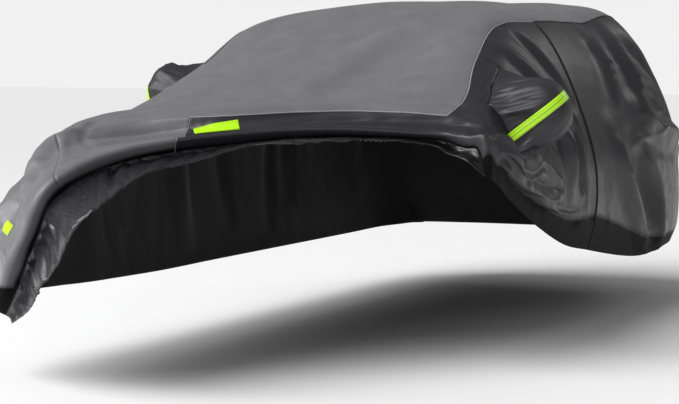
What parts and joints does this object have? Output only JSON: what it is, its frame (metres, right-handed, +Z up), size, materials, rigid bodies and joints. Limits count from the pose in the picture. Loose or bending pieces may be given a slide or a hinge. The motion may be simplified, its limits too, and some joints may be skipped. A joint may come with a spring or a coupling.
{
  "type": "car cover",
  "caption": "Fitted weather cover for a compact hatchback, drawn over the whole car with its front left corner pulled up, with mirror pockets, a side zip and bright reflective strips.",
  "frame": {"origin": "on the inner face of the roof cloth above the middle of the car, where the cover rests on the car's roof", "axes": "+X toward the car's left side, +Y from the nose to the tail, +Z up"},
  "size_m": [2.0244, 4.3895, 1.2695],
  "materials": {
    "centre_panel": "satin coated polyester",
    "side_left_front": "satin coated polyester",
    "side_left_rear": "satin coated polyester",
    "side_right": "satin coated polyester",
    "mirror_pocket_left": "satin coated polyester",
    "mirror_pocket_right": "satin coated polyester",
    "strip_nose": "fluorescent tape",
    "strip_corner_right": "fluorescent tape",
    "strip_mirror_left": "fluorescent tape",
    "strip_mirror_right": "fluorescent tape",
    "zip_tape": "woven zip tape"
  },
  "bodies": {
    "root": {"centre_panel": "centre_panel", "side_left_front": "side_left_front", "side_left_rear": "side_left_rear", "side_right": "side_right", "mirror_pocket_left": "mirror_pocket_left", "mirror_pocket_right": "mirror_pocket_right", "strip_nose": "strip_nose", "strip_corner_right": "strip_corner_right", "strip_mirror_left": "strip_mirror_left", "strip_mirror_right": "strip_mirror_right", "zip_tape": "zip_tape"}
  },
  "joints": []
}
